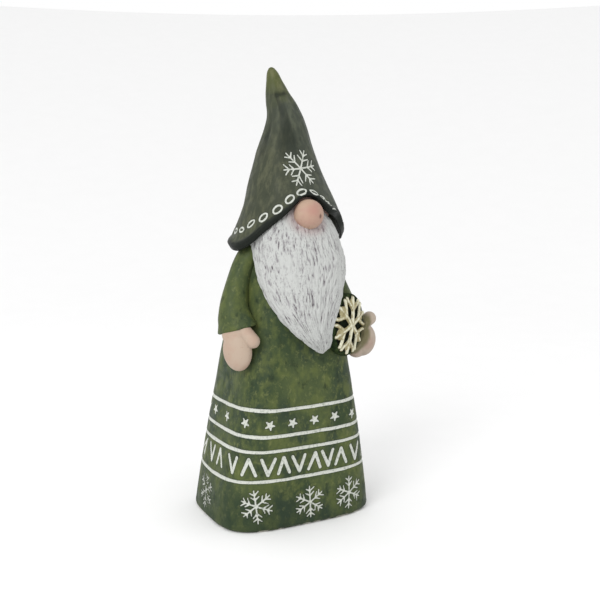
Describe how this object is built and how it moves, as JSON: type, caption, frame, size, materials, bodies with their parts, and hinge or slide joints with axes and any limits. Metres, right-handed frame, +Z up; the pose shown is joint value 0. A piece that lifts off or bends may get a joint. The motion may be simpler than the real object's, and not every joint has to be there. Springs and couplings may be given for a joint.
{
  "type": "gnome figurine",
  "caption": "Standing bearded gnome in a long flared robe and tall bent pointed hat, one mitten hand at the side, the other holding a round snowflake medallion.",
  "frame": {"origin": "centre of the robe's base outline, on the underside that rests on the table", "axes": "+Z up from the base to the hat; -Y is the front, where the nose and beard face; +X is the figure's left, the arm with the medallion"},
  "size_m": [0.0992, 0.0823, 0.25],
  "materials": {
    "robe_paint": "matte, sponged green wash with white-filled grooves",
    "base_paint": "matte",
    "hat_paint": "matte, dark grey-green wash with white-filled grooves",
    "skin_paint": "satin-matte",
    "nose_paint": "satin-matte",
    "beard_paint": "matte, white dry-brushed over grey",
    "medallion_paint": "satin",
    "gilt_paint": "satin gilt"
  },
  "bodies": {
    "root": {"robe_shell": "robe_paint", "base_plate": "base_paint", "head_core": "skin_paint", "hat_shell": "hat_paint", "beard": "beard_paint", "nose": "nose_paint", "right_sleeve": "robe_paint", "left_sleeve": "robe_paint", "right_hand": "skin_paint", "left_hand": "skin_paint", "medallion_disc": "medallion_paint", "medallion_snowflake": "gilt_paint"}
  },
  "joints": []
}
